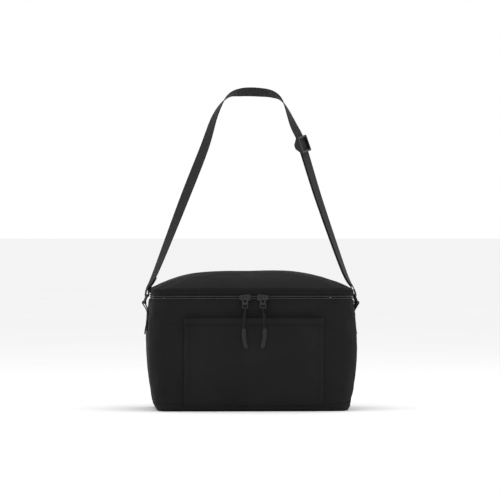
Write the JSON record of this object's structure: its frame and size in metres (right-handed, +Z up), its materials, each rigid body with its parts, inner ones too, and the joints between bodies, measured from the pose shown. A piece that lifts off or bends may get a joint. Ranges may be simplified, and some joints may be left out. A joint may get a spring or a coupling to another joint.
{
  "type": "insulated cooler bag",
  "caption": "Soft box-shaped insulated cooler bag with a domed zip-round lid, a front slip pocket and an adjustable shoulder strap.",
  "frame": {"origin": "on the floor under the middle of the base", "axes": "+Z up along the standing strap, -Y out of the front with the pocket, +X towards the bag's right side as seen from the front"},
  "size_m": [0.3092, 0.1852, 0.4575],
  "materials": {
    "outer_cloth": "plain-weave polyester, slight sheen",
    "base_cloth": "coated plain-weave polyester",
    "foam": "closed-cell polyethylene foam",
    "liner": "metallised film, satin",
    "binding": "grosgrain tape",
    "zip_tape": "knitted zip tape",
    "zip_coil": "nylon coil",
    "webbing": "twill webbing",
    "hardware": "moulded acetal",
    "slider_metal": "black enamel, semi-gloss",
    "pull_cord": "braided cord",
    "grip": "moulded soft rubber, matte"
  },
  "bodies": {
    "body": {"body_wrap": "outer_cloth", "back_panel": "outer_cloth", "base_panel": "base_cloth", "foam_front": "foam", "foam_back": "foam", "foam_left": "foam", "foam_right": "foam", "foam_base": "foam", "liner_tub": "liner", "rim_binding": "binding", "zip_tape_lower": "zip_tape", "zip_coil_lower": "zip_coil", "pocket_panel": "outer_cloth", "tab_left": "webbing", "tab_right": "webbing", "ring_left": "hardware", "ring_right": "hardware", "hinge_strip": "outer_cloth"},
    "lid": {"lid_top": "outer_cloth", "lid_band": "outer_cloth", "foam_lid": "foam", "liner_lid": "liner", "lid_binding": "binding", "zip_tape_upper": "zip_tape", "zip_coil_upper": "zip_coil"},
    "slider_left_body": {"slider_left": "slider_metal"},
    "slider_right_body": {"slider_right": "slider_metal"},
    "tab_left_body": {"pull_tab_left": "slider_metal"},
    "tab_right_body": {"pull_tab_right": "slider_metal"},
    "pull_left": {"pull_cord_left": "pull_cord", "pull_grip_left": "grip"},
    "pull_right": {"pull_cord_right": "pull_cord", "pull_grip_right": "grip"},
    "strap": {"strap_webbing": "webbing", "strap_return": "webbing"},
    "adjuster_body": {"adjuster": "hardware"}
  },
  "joints": [
    {"name": "lid_hinge", "type": "hinge", "parent": "body", "child": "lid", "pos_m": [0, 0.0857, 0.16], "axis": [-1, 0, 0], "range_deg": [0, 120], "deforming": ["hinge_strip", "strap_webbing", "strap_return"]},
    {"name": "slider_left_run", "type": "slide", "parent": "body", "child": "slider_left_body", "axis": [-1, 0, 0], "range_m": [0, 0.095]},
    {"name": "tab_left_flip", "type": "hinge", "parent": "slider_left_body", "child": "tab_left_body", "pos_m": [-0.0125, -0.0891, 0.1588], "axis": [-1, 0, 0], "range_deg": [0, 160]},
    {"name": "pull_left_swing", "type": "hinge", "parent": "tab_left_body", "child": "pull_left", "pos_m": [-0.0125, -0.09207, 0.14542], "axis": [0, 1, 0], "range_deg": [-8, 35]},
    {"name": "slider_right_run", "type": "slide", "parent": "body", "child": "slider_right_body", "axis": [1, 0, 0], "range_m": [0, 0.095]},
    {"name": "tab_right_flip", "type": "hinge", "parent": "slider_right_body", "child": "tab_right_body", "pos_m": [0.0125, -0.0891, 0.1588], "axis": [-1, 0, 0], "range_deg": [0, 160]},
    {"name": "pull_right_swing", "type": "hinge", "parent": "tab_right_body", "child": "pull_right", "pos_m": [0.0125, -0.09207, 0.14542], "axis": [0, -1, 0], "range_deg": [-8, 35]},
    {"name": "strap_swing", "type": "hinge", "parent": "body", "child": "strap", "pos_m": [0, 0, 0.162], "axis": [1, 0, 0], "range_deg": [-60, 60], "deforming": ["strap_webbing", "strap_return"]},
    {"name": "adjuster_slide", "type": "slide", "parent": "strap", "child": "adjuster_body", "axis": [-0.3293, 0, 0.9442], "range_m": [-0.1, 0.01], "deforming": ["strap_webbing", "strap_return"]}
  ]
}
